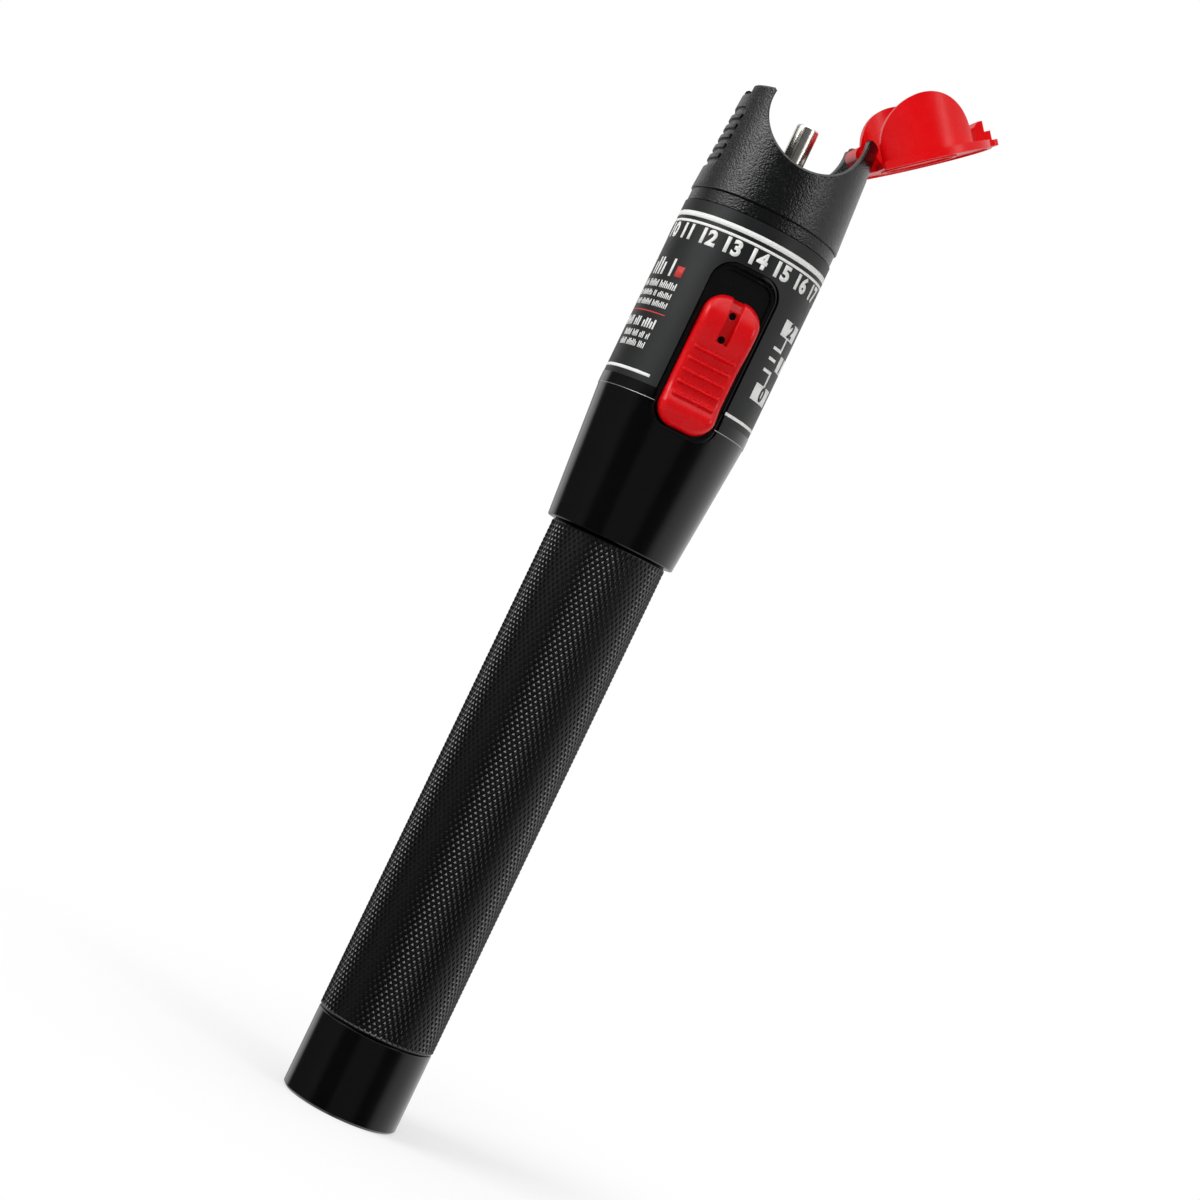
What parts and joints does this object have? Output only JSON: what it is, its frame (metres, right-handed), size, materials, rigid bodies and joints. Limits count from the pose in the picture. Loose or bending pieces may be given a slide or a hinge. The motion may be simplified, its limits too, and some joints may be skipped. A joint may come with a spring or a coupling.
{
  "type": "visual fault locator",
  "caption": "Pen-shaped visual fault locator with slide switch, ferrule port in a cut-out crown, hinged dust cap and screw tail cap.",
  "frame": {"origin": "middle of the tail cap's flat end face, which the pen stands on", "axes": "+Z along the pen from tail to port, the slide button faces -Y, the dust cap's hinge is on the +X side"},
  "size_m": [0.0421, 0.0273, 0.1891],
  "materials": {
    "black_anodised": "satin black anodised",
    "knurled_anodised": "satin black anodised, diamond knurl",
    "spring_steel": "bright wire",
    "seal_rubber": "matt black",
    "cell_jacket": "printed jacket on a steel can, weighed as aluminium",
    "label_film": "matt charcoal film with pale print",
    "gloss_black_plastic": "gloss black moulding",
    "red_plastic": "satin red moulding",
    "black_plastic": "moulded black",
    "switch_steel": "plated sheet",
    "board_laminate": "green solder mask",
    "capacitor_ceramic": "tan ceramic",
    "nickel_plate": "polished nickel plate",
    "bronze": "spring bronze",
    "brass_holder": "turned brass",
    "lens_glass": "polished",
    "zirconia": "white ceramic",
    "crown_plastic": "black moulding with a fine leather grain"
  },
  "bodies": {
    "tail": {"tail_cap": "black_anodised", "tail_spring": "spring_steel"},
    "cells": {"battery_rear": "cell_jacket", "battery_front": "cell_jacket"},
    "barrel": {"cap_seal_ring": "seal_rubber", "grip_tube": "knurled_anodised", "front_barrel": "black_anodised", "label_wrap": "label_film", "switch_bezel": "gloss_black_plastic", "slide_switch_shell": "switch_steel", "circuit_board": "board_laminate", "driver_chip": "black_plastic", "capacitor_1": "capacitor_ceramic", "capacitor_2": "capacitor_ceramic", "capacitor_3": "capacitor_ceramic", "resistor_1": "black_plastic", "resistor_2": "black_plastic", "resistor_3": "black_plastic", "resistor_4": "black_plastic", "battery_contact_plate": "nickel_plate", "board_carrier": "black_plastic", "ground_clip": "bronze", "laser_holder": "brass_holder", "laser_diode": "nickel_plate", "coupling_lens": "lens_glass", "fibre_stub": "zirconia", "ceramic_sleeve": "zirconia", "connector_tube": "nickel_plate", "crown_guard": "crown_plastic"},
    "switch_slide": {"slide_button": "red_plastic", "switch_lever": "black_plastic"},
    "port_cover": {"dust_cap": "red_plastic"}
  },
  "joints": [
    {"name": "tail_travel", "type": "slide", "parent": "tail", "child": "cells", "axis": [0, 0, 1], "range_m": [0, 0.0063]},
    {"name": "tail_turn", "type": "hinge", "parent": "cells", "child": "barrel", "pos_m": [0, 0, 0.0137], "axis": [0, 0, 1], "range_deg": [0, 2270]},
    {"name": "switch_travel", "type": "slide", "parent": "barrel", "child": "switch_slide", "axis": [0, 0, 1], "range_m": [0, 0.004]},
    {"name": "cap_hinge", "type": "hinge", "parent": "barrel", "child": "port_cover", "pos_m": [0.0096, 0, 0.17505], "axis": [0, 1, 0], "range_deg": [-141, 0]}
  ],
  "couplings": [
    {"joint": "tail_turn", "follows": "tail_travel", "rad_per_m": 6283.2}
  ]
}
